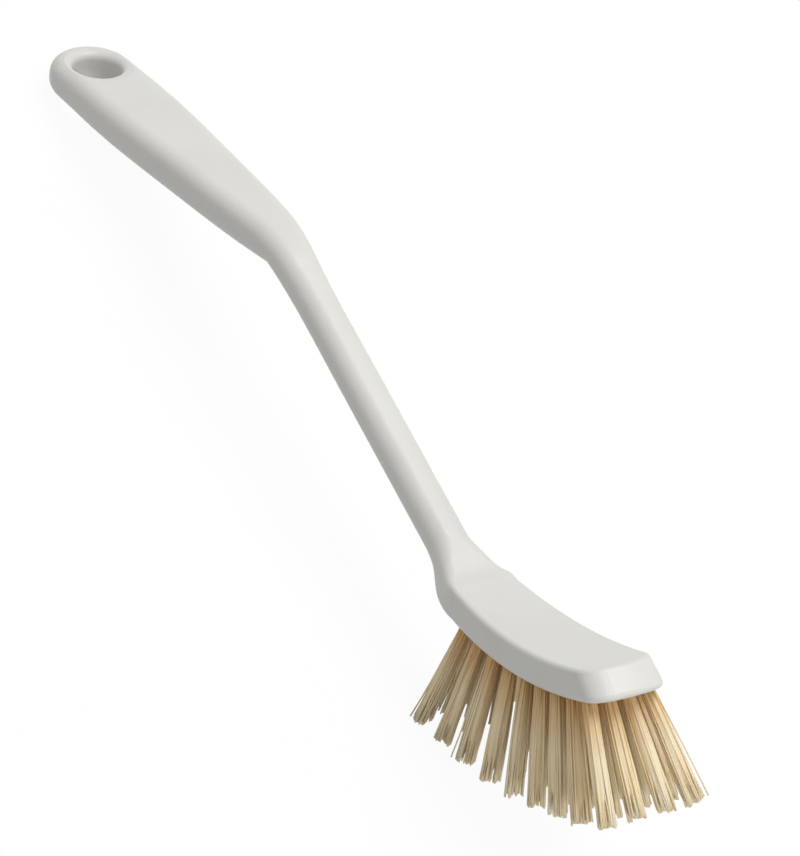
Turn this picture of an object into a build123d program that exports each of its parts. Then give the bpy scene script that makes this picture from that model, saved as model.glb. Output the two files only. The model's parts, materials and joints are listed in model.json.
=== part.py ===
from build123d import *
from math import asin, atan2, cos, degrees, hypot, radians, sin, tan
import os

# Dish brush. The handle and the head are one moulding, cranked down at an elbow
# and bent up again along the head. Rows of bristle tufts are folded over flat
# wire anchors in blind holes in the head's underside. The brush is drawn with
# its grip level along X and the middle of its round end at the origin, and is
# then set down on a table, on the end of its handle and its rear bristles.

# Handle, in plan and in thickness, from its round end to the head
end_radius = 11.5
end_thickness = 9.5
palm_distance = 24.0
palm_width = 23.2
finger_distance = 51.5
finger_width = 20.1
finger_thickness = 11.0
elbow_width = 14.7
elbow_thickness = 10.1
elbow_end_width = 11.0
waist_distance = 22.0
neck_width = 10.2
neck_thickness = 9.4
root_width = 10.4
handle_round = 4.3
round_limit_share = 0.46
nape_shares = (0.2, 0.4, 0.6, 0.8)

# Hanging hole, whose rims flare out and then slope on through the skin
hang_hole_distance = 1.8
hang_hole_radius = 6.6
hang_hole_rim = 2.2
hang_hole_flare = 76.0

# Course of the handle and head in side view
grip_length = 87.8
elbow_radius = 40.2
elbow_turn = 25.0
neck_length = 95.2
nape_lead = 12.0
nape_radius = 8.0
nape_turn = 20.2
plate_radius = 122.2
plate_turn = 29.3

# Head: a bent plate with drafted sides and an end that slopes out below
plate_above = 4.0
plate_below = 3.8
shoulder_length = 5.5
shoulder_width = 18.0
middle_width = 21.3
tip_width = 21.4
side_draft = 6.0
end_slope = 47.5
end_bulge = 2.6
corner_radius = 7.0
head_edge_round = 1.2
end_margin_turn = 8.0

# Tufts: rows that fan out lengthwise, in columns that splay out sideways
row_count = 9
column_count = 4
first_row_distance = 9.7
last_row_margin = 2.0
rear_column_offset = 7.5
front_column_offset = 8.2
rear_fan = -11.0
front_fan = 42.1
outer_splay = 9.6
hole_radius = 1.9
hole_depth = 6.0
root_recess = 0.8
root_clearance = 0.05
root_sides = 6

# Strands: two rings to a tuft, which open out from their roots to their tips
bristle_length = 31.2
strand_radius = 0.38
strand_sides = 3
strand_root_depth = 1.0
inner_ring_radius = 0.55
inner_ring_count = 3
outer_ring_radius = 1.2
outer_ring_count = 7
tip_spread = 2.1
ragged_length = 2.6
ragged_step_share = 0.618
table_trim = 0.5

# Anchors: flat wire driven across each hole, above the fold of the bristles
anchor_thickness = 0.4
anchor_height = 1.8
anchor_bite = 0.15
fold_thickness = 0.9

# Length by which shapes that cut run past what they cut
overrun = 2.0

across = Vector(0, 1, 0)

# The long edges of the handle are rounded as far as its slimmest section allows
slimmest = min(end_thickness, finger_thickness, elbow_thickness, neck_thickness, neck_width)
edge_round = min(handle_round, slimmest * round_limit_share)

with BuildLine(Plane.XZ) as course:
    grip_run = Line((0, 0), (grip_length, 0))
    elbow = JernArc(grip_run @ 1, grip_run % 1, elbow_radius, -elbow_turn)
    neck_run = Line(elbow @ 1, elbow @ 1 + (elbow % 1) * neck_length)
    nape = JernArc(neck_run @ 1, neck_run % 1, nape_radius, nape_turn)
    plate = JernArc(nape @ 1, nape % 1, plate_radius, plate_turn)

course_wire = course.wires()[0]
neck_start = grip_length + elbow.length
neck_end = neck_start + neck_length
nape_start = neck_end - nape_lead
plate_start = neck_end + nape.length
shoulder_end = plate_start + shoulder_length


def between(start, end, share):
    return start + (end - start) * share


def station(distance):
    """Plane square to the course, with its X across the brush and its Y up."""
    place = course_wire.position_at(distance, position_mode=PositionMode.LENGTH)
    heading = course_wire.tangent_at(distance, position_mode=PositionMode.LENGTH)
    return Plane(origin=place, x_dir=across, z_dir=heading)


# The head is cut from a block that is ruled between an outline above it and
# one below it, which is wider by the draft and longer by the slope of the end.
head_plane = Plane(origin=plate @ 0.5, x_dir=plate % 0.5, z_dir=(plate % 0.5).cross(across))
tip_station = station(course_wire.length)
tip_upper = head_plane.to_local_coords(tip_station.origin + tip_station.y_dir * plate_above)
block_rear = head_plane.to_local_coords(plate @ 0)


def head_outline(level):
    """Plan of the head at a level: bowed sides, a bulged end and round corners."""
    widening = (plate_above - level) * tan(radians(side_draft))
    reach = tip_upper.X + (tip_upper.Z - level) * tan(radians(end_slope))
    rear = shoulder_width / 2 + widening
    middle = middle_width / 2 + widening
    tip = tip_width / 2 + widening
    with BuildSketch(head_plane.offset(level)) as outline:
        with BuildLine():
            Line((block_rear.X, rear), (block_rear.X, -rear))
            ThreePointArc((block_rear.X, -rear), (0, -middle), (reach, -tip))
            ThreePointArc((reach, -tip), (reach + end_bulge, 0), (reach, tip))
            ThreePointArc((reach, tip), (0, middle), (block_rear.X, rear))
        make_face()
        fillet(outline.vertices().group_by(Axis.X)[-1], corner_radius)
    return outline.sketch


# The plate itself lies between two arcs about one centre, from the shoulder on
plate_centre = (plate.center_point.X, plate.center_point.Z)
shoulder_arm = station(shoulder_end).origin - plate.center_point
band_start = degrees(atan2(shoulder_arm.Z, shoulder_arm.X))
band_turn = plate_turn - degrees(shoulder_length / plate_radius) + end_margin_turn

with BuildPart() as head:
    loft([head_outline(tip_upper.Z + overrun), head_outline(-plate_below - overrun)], ruled=True)
    with BuildSketch(Plane.XZ):
        with BuildLine():
            upper = CenterArc(plate_centre, plate_radius - plate_above, band_start, band_turn)
            lower = CenterArc(plate_centre, plate_radius + plate_below, band_start, band_turn)
            Line(upper @ 0, lower @ 0)
            Line(upper @ 1, lower @ 1)
        make_face()
    extrude(amount=middle_width, both=True, mode=Mode.INTERSECT)
    skins = head.faces().filter_by(GeomType.CYLINDER)
    sawn_edges = head.faces().sort_by(Axis.X)[0].edges()
    fillet([edge for edge in skins.edges() if edge not in sawn_edges], head_edge_round)

shoulder_face = head.faces().sort_by(Axis.X)[0]
shoulder_top = shoulder_face.edges().sort_by(Axis.Z)[-1].length + 2 * head_edge_round


def nape_section(share):
    """Section where the neck flares out to the shoulder of the head."""
    flare = share * share * (3 - 2 * share)
    half_width = between(root_width, shoulder_top, flare) / 2
    widening = (plate_above + plate_below) * tan(radians(side_draft)) * flare
    above = between(neck_thickness / 2, plate_above, share)
    below = between(neck_thickness / 2, plate_below, share)
    with BuildSketch(station(between(nape_start, shoulder_end, share))) as section:
        with BuildLine():
            Polyline(
                (-half_width, above),
                (half_width, above),
                (half_width + widening, -below),
                (-half_width - widening, -below),
                close=True,
            )
        make_face()
        fillet(section.vertices(), between(edge_round, head_edge_round, flare))
    return section.sketch


def tuft_plane(row, column):
    """Plane on the head's underside, facing out along a tuft."""
    row_share = row / (row_count - 1)
    column_share = 2 * column / (column_count - 1) - 1
    row_distance = between(first_row_distance, plate.length - last_row_margin, row_share)
    seat = station(plate_start + row_distance)
    offset = between(rear_column_offset, front_column_offset, row_share) * column_share
    place = seat.origin - seat.y_dir * plate_below + across * offset
    fan = radians(between(rear_fan, front_fan, row_share))
    splay = radians(outer_splay * column_share)
    heading = (sin(fan) * cos(splay), sin(splay), -cos(fan) * cos(splay))
    return Plane(origin=place, x_dir=(cos(fan), 0, sin(fan)), z_dir=heading)


tufts = {
    (row, column): tuft_plane(row, column)
    for row in range(row_count)
    for column in range(column_count)
}
anchor_size = (anchor_thickness, 2 * (hole_radius + anchor_bite), anchor_height)
on_floor = (Align.CENTER, Align.CENTER, Align.MIN)


def anchor_plane(plane):
    """Plane in a tuft's hole that its anchor stands on, above the fold."""
    return plane.offset(fold_thickness - hole_depth)


# The handle's side view ends square to the neck, at two points either side of
# it, where the nape starts. Lines from there along the neck meet the grip's
# level at two corners.
neck_heading = neck_run % 1
neck_normal = neck_heading.cross(across)
neck_tail = neck_run @ 1 - neck_heading * nape_lead
neck_upper = neck_tail + neck_normal * neck_thickness / 2
neck_lower = neck_tail - neck_normal * neck_thickness / 2


def elbow_corner(neck_point, level):
    return (neck_point.X + (level - neck_point.Z) * neck_heading.X / neck_heading.Z, level)


with BuildPart() as handle:
    with BuildSketch(Plane.XZ) as side_view:
        with BuildLine():
            crown = ThreePointArc(
                (-end_radius, end_thickness / 2),
                (finger_distance, finger_thickness / 2),
                elbow_corner(neck_upper, elbow_thickness / 2),
            )
            Line(crown @ 1, (neck_upper.X, neck_upper.Z))
            Line((neck_upper.X, neck_upper.Z), (neck_lower.X, neck_lower.Z))
            keel = ThreePointArc(
                (-end_radius, -end_thickness / 2),
                (finger_distance, -finger_thickness / 2),
                elbow_corner(neck_lower, -elbow_thickness / 2),
            )
            Line(keel @ 1, (neck_lower.X, neck_lower.Z))
            Line(crown @ 0, keel @ 0)
        make_face()
        corners = side_view.vertices()
        fillet(corners.sort_by_distance(crown @ 1)[0], elbow_radius + elbow_thickness / 2)
        fillet(corners.sort_by_distance(keel @ 1)[0], elbow_radius - elbow_thickness / 2)
    extrude(amount=palm_width, both=True)
    # Plan: a round end about the origin, drawn in from the palm to the neck
    with BuildSketch():
        with BuildLine():
            flank = Spline(
                (0, end_radius),
                (palm_distance, palm_width / 2),
                (finger_distance, finger_width / 2),
                (grip_length, elbow_width / 2),
                (neck_run.start_point().X, elbow_end_width / 2),
                (station(neck_start + waist_distance).origin.X, neck_width / 2),
                (neck_upper.X + overrun, root_width / 2),
                tangents=((1, 0), (1, 0)),
            )
            mirror(flank, about=Plane.XZ)
            ThreePointArc((0, end_radius), (-end_radius, 0), (0, -end_radius))
            Line(flank @ 1, ((flank @ 1).X, -root_width / 2))
        make_face()
    extrude(amount=grip_length, both=True, mode=Mode.INTERSECT)
    # Every long edge is rounded, but for those of the sawn end of the neck
    neck_face = handle.faces().sort_by(Axis.X)[-1]
    upright = handle.edges().filter_by(Axis.Z)
    crosswise = handle.edges().filter_by(Axis.Y)
    fillet(handle.edges() - upright - crosswise - neck_face.edges(), edge_round)
    neck_face = handle.faces().sort_by(Axis.X)[-1]
    loft([neck_face] + [nape_section(share) for share in nape_shares] + [shoulder_face])
    add(head)
    with BuildSketch(Plane.XZ):
        with BuildLine():
            hole_side = hang_hole_distance + hang_hole_radius
            wall = Line((hole_side, 0), (hole_side, end_thickness / 2 - hang_hole_rim))
            flare = JernArc(wall @ 1, wall % 1, hang_hole_rim, -hang_hole_flare)
            slope = Line(flare @ 1, flare @ 1 + (flare % 1) * end_radius)
            Line(slope @ 1, (hang_hole_distance, (slope @ 1).Y))
            Line((hang_hole_distance, (slope @ 1).Y), (hang_hole_distance, 0))
            Line((hang_hole_distance, 0), wall @ 0)
        make_face()
        mirror(about=Plane.XZ)
    revolve(axis=Axis((hang_hole_distance, 0, 0), (0, 0, 1)), mode=Mode.SUBTRACT)
    # Blind tuft holes, into whose walls the anchors bite
    with Locations(*tufts.values()):
        Hole(hole_radius, hole_depth)

with BuildPart() as anchors:
    with Locations(*[anchor_plane(plane) for plane in tufts.values()]):
        Box(*anchor_size, align=on_floor)

# The table touches the rounded underside of the handle's end and the tips of
# the tufts that reach lowest, which are trimmed flat where they stand on it.
rim_centre = Vector(edge_round - end_radius, 0, edge_round - end_thickness / 2)


def rise_to(tip):
    """Rise of the grip at which the handle's end and a tuft's tip are level."""
    reach = tip - rim_centre
    return degrees(asin(-edge_round / hypot(reach.X, reach.Z)) - atan2(reach.Z, reach.X))


tips = [plane.offset(bristle_length - table_trim).origin for plane in tufts.values()]
grip_rise = radians(max(rise_to(tip) for tip in tips))
table_along = Vector(cos(grip_rise), 0, -sin(grip_rise))
table_up = Vector(sin(grip_rise), 0, cos(grip_rise))
front_tip = tufts[row_count - 1, 0].offset(bristle_length).origin
middle = (front_tip + Vector(-end_radius, 0, 0)) / 2
middle_distance = (middle - rim_centre).dot(table_along)
table_middle = rim_centre - table_up * edge_round + table_along * middle_distance
table = Plane(origin=table_middle, x_dir=table_along, z_dir=table_up)


def strand(plane, spot, shortening):
    """Strand that leans out from the middle of its tuft towards its tip."""
    root_depth = root_recess + strand_root_depth
    root = plane.offset(-root_depth).from_local_coords((spot.X, spot.Y, 0))
    lean = tip_spread / outer_ring_radius / bristle_length
    heading = plane.z_dir + (plane.x_dir * spot.X + plane.y_dir * spot.Y) * lean
    with BuildSketch(Plane(root, x_dir=plane.x_dir, z_dir=plane.z_dir), mode=Mode.PRIVATE) as end:
        RegularPolygon(strand_radius, strand_sides)
    length = root_depth + bristle_length - shortening
    return extrude(end.sketch, amount=length, dir=heading, mode=Mode.PRIVATE)


def ragged(strand_number):
    """Length that a strand falls short by, spread evenly but without a pattern."""
    return ragged_length * (strand_number * ragged_step_share % 1)


os.makedirs("parts", exist_ok=True)
to_table = table.location.inverse()
spots = [place.position for place in PolarLocations(inner_ring_radius, inner_ring_count)]
spots += [place.position for place in PolarLocations(outer_ring_radius, outer_ring_count)]

for number, ((row, column), plane) in enumerate(tufts.items()):
    with BuildPart() as tuft:
        # Root: the folded bristles packed in the hole, open where the anchor passes
        with BuildSketch(plane.offset(-hole_depth)):
            RegularPolygon(hole_radius - root_clearance, root_sides)
        extrude(amount=hole_depth - root_recess)
        with Locations(anchor_plane(plane)):
            Box(*anchor_size, align=on_floor, mode=Mode.SUBTRACT)
        first = number * len(spots)
        add([strand(plane, spot, ragged(first + index)) for index, spot in enumerate(spots)])
        split(bisect_by=table, keep=Keep.TOP)
    name = f"tuft_{row + 1}_{column + 1}"
    tuft.part.label = name
    tuft.part.locate(to_table)
    export_step(tuft.part, f"parts/{name}.step")

handle.part.label = "handle"
handle.part.locate(to_table)
export_step(handle.part, "parts/handle.step")

anchors.part.label = "anchors"
anchors.part.locate(to_table)
export_step(anchors.part, "parts/anchors.step")
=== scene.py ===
import bpy
import json
from math import cos, pi, radians, sin, sqrt
from mathutils import Matrix, Vector
from random import Random


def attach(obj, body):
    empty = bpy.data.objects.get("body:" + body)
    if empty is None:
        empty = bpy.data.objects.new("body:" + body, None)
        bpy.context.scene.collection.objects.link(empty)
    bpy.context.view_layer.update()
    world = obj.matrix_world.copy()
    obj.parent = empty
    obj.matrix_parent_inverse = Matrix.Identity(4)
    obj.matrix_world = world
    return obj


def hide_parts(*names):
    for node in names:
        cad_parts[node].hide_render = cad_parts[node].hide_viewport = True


# Dish brush on a white table, in metres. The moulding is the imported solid. Its
# tufts are dressed here with full bundles of fine bristles, from the same holes
# and in the same directions.

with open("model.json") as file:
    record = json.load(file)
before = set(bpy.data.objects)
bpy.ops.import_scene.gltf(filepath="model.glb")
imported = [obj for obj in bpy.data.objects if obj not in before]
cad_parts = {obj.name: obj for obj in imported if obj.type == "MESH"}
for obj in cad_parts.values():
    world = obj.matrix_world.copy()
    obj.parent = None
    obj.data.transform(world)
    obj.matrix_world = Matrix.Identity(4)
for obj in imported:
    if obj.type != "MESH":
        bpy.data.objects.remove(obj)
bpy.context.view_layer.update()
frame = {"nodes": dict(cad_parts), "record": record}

# The course of the handle and head, from the middle of its round end: lengths,
# and turns in degrees, as in the part's source
hang_hole_distance = 0.0018
grip_length = 0.0878
elbow_radius = 0.0402
elbow_turn = -25.0
neck_length = 0.0952
nape_radius = 0.008
nape_turn = 20.2
plate_radius = 0.1222
plate_turn = 29.3
plate_below = 0.0038

# Rows that fan out lengthwise, in columns that splay out sideways
row_count = 9
column_count = 4
first_row_distance = 0.0097
last_row_margin = 0.002
rear_column_offset = 0.0075
front_column_offset = 0.0082
rear_fan = -11.0
front_fan = 42.1
outer_splay = 9.6
hole_radius = 0.0019

# Bristles: how many to a tuft, their size, and how much they stray
bristle_count = 96
bristle_length = 0.0312
bristle_radius = 0.00021
bristle_sides = 5
bristle_segments = 5
root_depth = 0.0018
tip_spread = 0.0012
bow = 0.00035
crimp = 0.00006
stray_chance = 0.03
stray_lean = 0.0016
table_gap = 0.0001

# Clumps that the bristles of a tuft gather in, with a share of their tint in common
clump_count = 7
clump_pull = 0.4
clump_lean = 0.0005
clump_tint_share = 0.6

# How much shorter whole tufts, clumps and single bristles can be
tuft_ragged = 0.0006
clump_ragged = 0.0011
bristle_ragged = 0.0012

# Core of a bundle, in place of the bristles that can't be seen: how far it reaches,
# and how full it is at shares of its length
core_sides = 18
core_reach = 0.96
core_course = ((0, 0.93), (0.3, 0.92), (0.6, 0.88), (0.82, 0.74), (1, 0.2))
core_least_share = 0.92

# Colours
plastic_deep = (0.735, 0.725, 0.683, 1)
plastic_pale = (0.765, 0.757, 0.716, 1)
bristle_deep = (0.9, 0.72, 0.42, 1)
bristle_pale = (0.96, 0.86, 0.64, 1)
# Painted shade: bristles and cores darken to this colour towards their roots, under the head
painted_root_shade = (0.76, 0.53, 0.26, 1)
sheen_tint = (1, 0.86, 0.62, 1)
wire_colour = (0.62, 0.61, 0.58, 1)
table_grey = (0.45, 0.45, 0.45, 1)
white = (1, 1, 1, 1)

# Surfaces: how rough each is, from its smoothest to its roughest spot, how fine its
# pattern is, and over which share of a bristle the painted shade at the root fades
plastic_gloss = (0.36, 0.46)
mottle_scale = 60
mottle_detail = 4
mottle_shares = (0.3, 0.7)
grain_scale = 2600
grain_strength = 0.12
grain_depth = 0.00005
wire_gloss = (0.25, 0.45)
drawn_scale = 900
fine_detail = 2
bristle_roughness = 0.38
painted_root_shade_fade = 0.5
sheen_weight = 0.5
sheen_roughness = 0.5

# Light: the table's half width and its white, the world, and each lamp's place,
# aim, size and power
table_reach = 3.0
table_strength = 1.1
table_white_share = 0.85
world_strength = 0.47
lamps = {
    "key": ((-0.1, 0.38, 1.4), (0.02, 0, 0.03), 0.9, 11),
    "side": ((1.4, 0.1, 0.12), (0.1, 0, 0.03), 0.6, 6),
}

# Camera, as fitted to the photograph's outline
photo_height = 856
focal_pixels = 5408.8
sensor_width = 36
nearest_seen = 0.01
camera_azimuth = 42.07
camera_elevation = 44.99
camera_roll = 25.39
camera_distance = 1.3513
camera_target = Vector((0.01462, 0.00491, 0.03364))


def turned(direction, degrees):
    """A direction in side view, turned up by an angle."""
    angle = radians(degrees)
    x, z = direction
    return (x * cos(angle) - z * sin(angle), x * sin(angle) + z * cos(angle))


def moved(point, direction, length):
    return (point[0] + direction[0] * length, point[1] + direction[1] * length)


def along_arc(point, direction, radius, turn, degrees):
    """Where an arc has come to, and which way it heads, after a number of degrees."""
    side = 1 if turn > 0 else -1
    normal = turned(direction, 90 * side)
    centre = moved(point, normal, radius)
    arm = turned((-normal[0], -normal[1]), side * degrees)
    return moved(centre, arm, radius), turned(direction, side * degrees)


hole = frame["record"]["mounts"][0]
grip_up = Vector(hole["axis"]).normalized()
across = Vector((0, 1, 0))
grip_along = across.cross(grip_up)
end_place = Vector(hole["pos_m"]) - grip_along * hang_hole_distance

elbow_start = (grip_length, 0)
elbow_end, neck_heading = along_arc(elbow_start, (1, 0), elbow_radius, elbow_turn, -elbow_turn)
nape_start = moved(elbow_end, neck_heading, neck_length)
plate_start, plate_heading = along_arc(nape_start, neck_heading, nape_radius, nape_turn, nape_turn)
plate_length = plate_radius * radians(plate_turn)


def rest_place(x, y, z):
    return end_place + grip_along * x + across * y + grip_up * z


def rest_heading(x, y, z):
    return grip_along * x + across * y + grip_up * z


def tuft_frame(row, column):
    """A tuft's mouth under the head, its direction, and two directions square to it."""
    row_share = row / (row_count - 1)
    column_share = 2 * column / (column_count - 1) - 1
    span = plate_length - last_row_margin - first_row_distance
    distance = first_row_distance + span * row_share
    swept = distance / plate_radius * 180 / pi
    point, heading = along_arc(plate_start, plate_heading, plate_radius, plate_turn, swept)
    down = turned(heading, -90)
    mouth = moved(point, down, plate_below)
    fan = radians(rear_fan + (front_fan - rear_fan) * row_share)
    splay = radians(outer_splay * column_share)
    out = rest_heading(sin(fan) * cos(splay), sin(splay), -cos(fan) * cos(splay))
    side = rest_heading(cos(fan), 0, sin(fan))
    offset = rear_column_offset + (front_column_offset - rear_column_offset) * row_share
    return rest_place(mouth[0], offset * column_share, mouth[1]), out, side, out.cross(side)


def disc_spot(random, radius):
    angle = random.uniform(0, 2 * pi)
    reach = radius * sqrt(random.random())
    return Vector((reach * cos(angle), reach * sin(angle)))


def join_rings(faces, first, ring_count, sides):
    """Walls from ring to ring of points, and a cap on each end."""
    for ring in range(ring_count - 1):
        low = first + ring * sides
        high = low + sides
        for corner in range(sides):
            following = (corner + 1) % sides
            faces.append((low + corner, low + following, high + following, high + corner))
    last = first + (ring_count - 1) * sides
    faces.append(tuple(last + corner for corner in range(sides)))
    faces.append(tuple(first + corner for corner in reversed(range(sides))))


def add_bristle(random, tuft, clumps, tuft_short, points, faces, tints):
    """One bristle, drawn towards its nearest clump."""
    mouth, out, side, other = tuft
    pack_radius = hole_radius - bristle_radius
    root = disc_spot(random, pack_radius)
    nearest = min(clumps, key=lambda clump: (clump[0] - root).length)
    clump_spot, clump_offset, clump_short, clump_tint = nearest
    gathered = root.lerp(clump_spot, clump_pull)
    tip = gathered * (1 + tip_spread / pack_radius) + clump_offset
    if random.random() < stray_chance:
        tip += disc_spot(random, stray_lean)
    length = bristle_length - tuft_short - clump_short - abs(random.gauss(0, bristle_ragged / 2))
    bend = disc_spot(random, bow)
    first = len(points)
    twist = random.uniform(0, 2 * pi)
    tint = (1 - clump_tint_share) * random.random() + clump_tint_share * clump_tint

    def centre(share):
        offset = root.lerp(tip, max(share, 0)) + bend * (4 * share * (1 - share))
        return mouth + out * (length * share) + side * offset.x + other * offset.y

    # A bristle that would pass through the table ends just above it
    reach = 1.0
    end = centre(1)
    if end.z < table_gap:
        start = centre(0)
        reach = (start.z - table_gap) / (start.z - end.z)
    steps = range(bristle_segments + 1)
    shares = [-root_depth / length] + [reach * step / bristle_segments for step in steps]
    for share in shares:
        kink = disc_spot(random, crimp)
        middle = centre(share) + side * kink.x + other * kink.y
        for corner in range(bristle_sides):
            angle = twist + 2 * pi * corner / bristle_sides
            points.append(middle + (side * cos(angle) + other * sin(angle)) * bristle_radius)
            # The second value is the share along the bristle, which sets its painted shade towards the
            # root
            tints.append((tint, max(share, 0), random.random()))
    join_rings(faces, first, len(shares), bristle_sides)


def add_core(random, tuft, tuft_short, points, faces, tints):
    """A slightly uneven core that tapers off among the tips."""
    mouth, out, side, other = tuft
    pack_radius = hole_radius - bristle_radius
    first = len(points)
    core_length = (bristle_length - tuft_short - clump_ragged) * core_reach
    for share, fullness in core_course:
        middle = mouth + out * (core_length * share)
        core_radius = fullness * (pack_radius + tip_spread * core_reach * share)
        for corner in range(core_sides):
            angle = 2 * pi * corner / core_sides
            arm = side * cos(angle) + other * sin(angle)
            place = middle + arm * (core_radius * random.uniform(core_least_share, 1))
            place.z = max(place.z, table_gap)
            points.append(place)
            # The second value sets the painted shade towards the root, as on the bristles
            tints.append((random.random(), core_reach * share, 0))
    join_rings(faces, first, len(core_course), core_sides)


def tuft_mesh(row, column):
    """A bundle of fine bristles that gather in clumps and end unevenly."""
    random = Random(row * column_count + column + 1)
    tuft = tuft_frame(row, column)
    clumps = []
    for number in range(clump_count):
        spot = disc_spot(random, hole_radius - bristle_radius)
        lean = disc_spot(random, clump_lean)
        clumps.append((spot, lean, random.uniform(0, clump_ragged), random.random()))
    tuft_short = random.uniform(0, tuft_ragged)
    points, faces, tints = [], [], []
    for number in range(bristle_count):
        add_bristle(random, tuft, clumps, tuft_short, points, faces, tints)
    add_core(random, tuft, tuft_short, points, faces, tints)
    mesh = bpy.data.meshes.new(f"bristles_{row + 1}_{column + 1}")
    mesh.from_pydata([point[:] for point in points], [], faces)
    colour = mesh.color_attributes.new("tint", "FLOAT_COLOR", "POINT")
    for index, tint in enumerate(tints):
        colour.data[index].color = (*tint, 1)
    for polygon in mesh.polygons:
        polygon.use_smooth = len(polygon.vertices) == 4
    return mesh


def new_material(name):
    material = bpy.data.materials.new(name)
    material.use_nodes = True
    return material, material.node_tree.nodes, material.node_tree.links


def add_noise(nodes, links, place, scale, detail):
    noise = nodes.new("ShaderNodeTexNoise")
    noise.inputs["Scale"].default_value = scale
    noise.inputs["Detail"].default_value = detail
    links.new(place.outputs["Object"], noise.inputs["Vector"])
    return noise.outputs["Fac"]


def add_ramp(nodes, links, share, low, high, low_share=0, high_share=1):
    """A colour that goes from low to high as its share does."""
    ramp = nodes.new("ShaderNodeValToRGB")
    first, last = ramp.color_ramp.elements
    first.position, first.color = low_share, low
    last.position, last.color = high_share, high
    links.new(share, ramp.inputs["Fac"])
    return ramp.outputs["Color"]


def add_gloss(nodes, links, share, gloss_range, shader):
    """Roughness that varies a little over the surface."""
    gloss = nodes.new("ShaderNodeMapRange")
    gloss.inputs["To Min"].default_value = gloss_range[0]
    gloss.inputs["To Max"].default_value = gloss_range[1]
    links.new(share, gloss.inputs["Value"])
    links.new(gloss.outputs["Result"], shader.inputs["Roughness"])


def plastic_material():
    """Off-white satin plastic with a fine moulded grain."""
    material, nodes, links = new_material("off_white_plastic")
    shader = nodes["Principled BSDF"]
    place = nodes.new("ShaderNodeTexCoord")
    mottle = add_noise(nodes, links, place, mottle_scale, mottle_detail)
    grain = add_noise(nodes, links, place, grain_scale, fine_detail)
    shade = add_ramp(nodes, links, mottle, plastic_deep, plastic_pale, *mottle_shares)
    bump = nodes.new("ShaderNodeBump")
    bump.inputs["Strength"].default_value = grain_strength
    bump.inputs["Distance"].default_value = grain_depth
    add_gloss(nodes, links, mottle, plastic_gloss, shader)
    links.new(grain, bump.inputs["Height"])
    links.new(shade, shader.inputs["Base Color"])
    links.new(bump.outputs["Normal"], shader.inputs["Normal"])
    return material


def bristle_material():
    """Satin beige filament with painted shade towards the root, each with a tint of its own."""
    material, nodes, links = new_material("beige_bristle")
    shader = nodes["Principled BSDF"]
    tint = nodes.new("ShaderNodeAttribute")
    tint.attribute_name = "tint"
    split = nodes.new("ShaderNodeSeparateColor")
    links.new(tint.outputs["Color"], split.inputs["Color"])
    pale = add_ramp(nodes, links, split.outputs["Red"], bristle_deep, bristle_pale)
    # Painted shade: the colour darkens towards the root of each bristle and core
    root = add_ramp(nodes, links, split.outputs["Green"], painted_root_shade, white, 0, painted_root_shade_fade)
    painted_shade_mix = nodes.new("ShaderNodeMix")
    painted_shade_mix.data_type = "RGBA"
    painted_shade_mix.blend_type = "MULTIPLY"
    painted_shade_mix.inputs["Factor"].default_value = 1.0
    links.new(pale, painted_shade_mix.inputs["A"])
    links.new(root, painted_shade_mix.inputs["B"])
    links.new(painted_shade_mix.outputs["Result"], shader.inputs["Base Color"])
    shader.inputs["Roughness"].default_value = bristle_roughness
    shader.inputs["Sheen Weight"].default_value = sheen_weight
    shader.inputs["Sheen Roughness"].default_value = sheen_roughness
    shader.inputs["Sheen Tint"].default_value = sheen_tint
    return material


def wire_material():
    """Drawn flat wire of the anchors, which nothing shows unless a tuft is taken out."""
    material, nodes, links = new_material("anchor_wire")
    shader = nodes["Principled BSDF"]
    shader.inputs["Base Color"].default_value = wire_colour
    shader.inputs["Metallic"].default_value = 1
    place = nodes.new("ShaderNodeTexCoord")
    drawn = add_noise(nodes, links, place, drawn_scale, fine_detail)
    add_gloss(nodes, links, drawn, wire_gloss, shader)
    return material


def dress(node, material):
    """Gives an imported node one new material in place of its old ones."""
    mesh = frame["nodes"][node].data
    mesh.materials.clear()
    mesh.materials.append(material)


def add_tufts(material):
    for row in range(row_count):
        for column in range(column_count):
            mesh = tuft_mesh(row, column)
            mesh.materials.append(material)
            tuft = bpy.data.objects.new(mesh.name, mesh)
            bpy.context.collection.objects.link(tuft)
            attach(tuft, "root")
            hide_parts(f"tuft_{row + 1}_{column + 1}")


def seen_or_reflected(nodes, links):
    """1 where a ray comes from the camera or a reflection, and 0 for other light."""
    path = nodes.new("ShaderNodeLightPath")
    first = nodes.new("ShaderNodeMath")
    first.operation = "MAXIMUM"
    second = nodes.new("ShaderNodeMath")
    second.operation = "MAXIMUM"
    links.new(path.outputs["Is Camera Ray"], first.inputs[0])
    links.new(path.outputs["Is Glossy Ray"], first.inputs[1])
    links.new(first.outputs["Value"], second.inputs[0])
    links.new(path.outputs["Is Transmission Ray"], second.inputs[1])
    return second.outputs["Value"]


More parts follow.
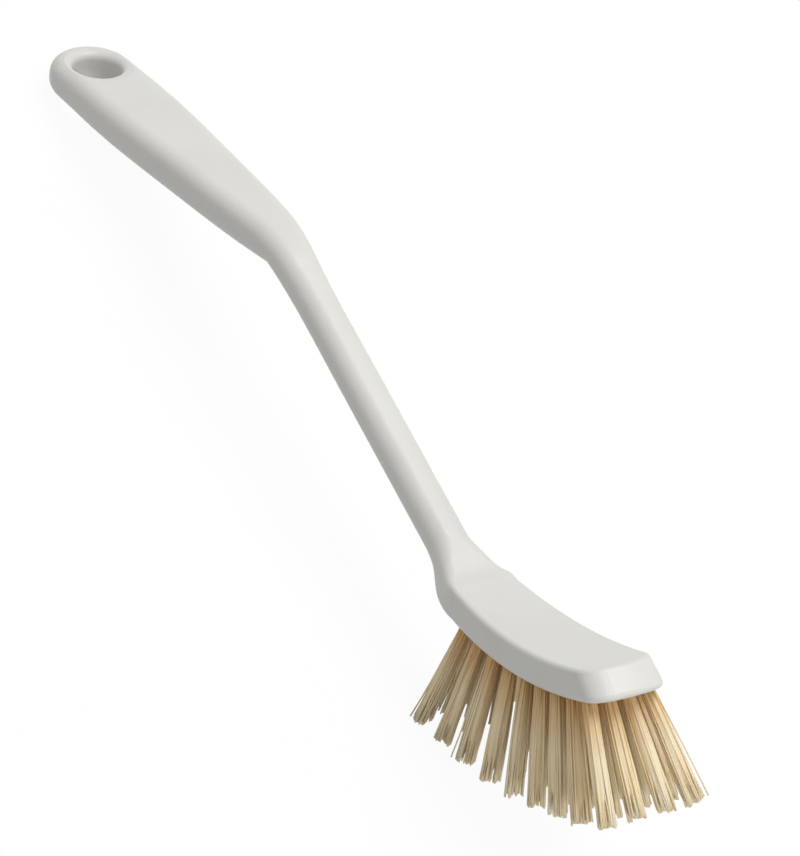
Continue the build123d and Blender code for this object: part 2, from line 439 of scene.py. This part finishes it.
def add_floor():
    """White table that keeps a faint shadow of the brush."""
    corners = ((-1, -1), (1, -1), (1, 1), (-1, 1))
    mesh = bpy.data.meshes.new("table")
    mesh.from_pydata([(x * table_reach, y * table_reach, 0) for x, y in corners], [], [(0, 1, 2, 3)])
    floor = bpy.data.objects.new("table", mesh)
    bpy.context.collection.objects.link(floor)
    material, nodes, links = new_material("white_table")
    mesh.materials.append(material)
    nodes.remove(nodes["Principled BSDF"])
    matt = nodes.new("ShaderNodeBsdfDiffuse")
    matt.inputs["Color"].default_value = table_grey
    glow = nodes.new("ShaderNodeEmission")
    glow.inputs["Strength"].default_value = table_strength
    shadowed = nodes.new("ShaderNodeMixShader")
    shadowed.inputs["Fac"].default_value = table_white_share
    shown = nodes.new("ShaderNodeMixShader")
    links.new(matt.outputs["BSDF"], shadowed.inputs[1])
    links.new(glow.outputs["Emission"], shadowed.inputs[2])
    links.new(seen_or_reflected(nodes, links), shown.inputs["Fac"])
    links.new(matt.outputs["BSDF"], shown.inputs[1])
    links.new(shadowed.outputs["Shader"], shown.inputs[2])
    links.new(shown.outputs["Shader"], nodes["Material Output"].inputs["Surface"])


def add_world():
    """Plain soft light all round, which the camera and reflections see as white."""
    world = bpy.data.worlds.new("studio")
    bpy.context.scene.world = world
    world.use_nodes = True
    nodes, links = world.node_tree.nodes, world.node_tree.links
    around = nodes["Background"]
    around.inputs["Color"].default_value = white
    around.inputs["Strength"].default_value = world_strength
    shown = nodes.new("ShaderNodeBackground")
    shown.inputs["Color"].default_value = white
    either = nodes.new("ShaderNodeMixShader")
    links.new(seen_or_reflected(nodes, links), either.inputs["Fac"])
    links.new(around.outputs["Background"], either.inputs[1])
    links.new(shown.outputs["Background"], either.inputs[2])
    links.new(either.outputs["Shader"], nodes["World Output"].inputs["Surface"])


def add_lamp(name, place, aim, size, power):
    lamp = bpy.data.lights.new(name, "AREA")
    lamp.shape = "DISK"
    lamp.size = size
    lamp.energy = power
    lamp_object = bpy.data.objects.new(name, lamp)
    bpy.context.collection.objects.link(lamp_object)
    lamp_object.location = place
    lamp_object.rotation_euler = (Vector(aim) - Vector(place)).to_track_quat("-Z", "Y").to_euler()


def add_camera():
    azimuth, elevation, roll = radians(camera_azimuth), radians(camera_elevation), radians(camera_roll)
    back = Vector((sin(azimuth) * cos(elevation), -cos(azimuth) * cos(elevation), sin(elevation)))
    level = Vector((cos(azimuth), sin(azimuth), 0))
    upright = back.cross(level)
    right = level * cos(roll) + upright * sin(roll)
    up = upright * cos(roll) - level * sin(roll)
    camera = bpy.data.cameras.new("camera")
    camera.sensor_width = sensor_width
    camera.lens = focal_pixels / photo_height * sensor_width
    camera.clip_start = nearest_seen
    camera_object = bpy.data.objects.new("camera", camera)
    bpy.context.collection.objects.link(camera_object)
    place = Matrix.Translation(camera_target + back * camera_distance)
    camera_object.matrix_world = place @ Matrix((right, up, back)).transposed().to_4x4()
    bpy.context.scene.camera = camera_object


bpy.context.scene.view_settings.view_transform = "Standard"
dress("handle", plastic_material())
dress("anchors", wire_material())
add_tufts(bristle_material())
add_floor()
add_world()
for name, settings in lamps.items():
    add_lamp(name, *settings)
add_camera()
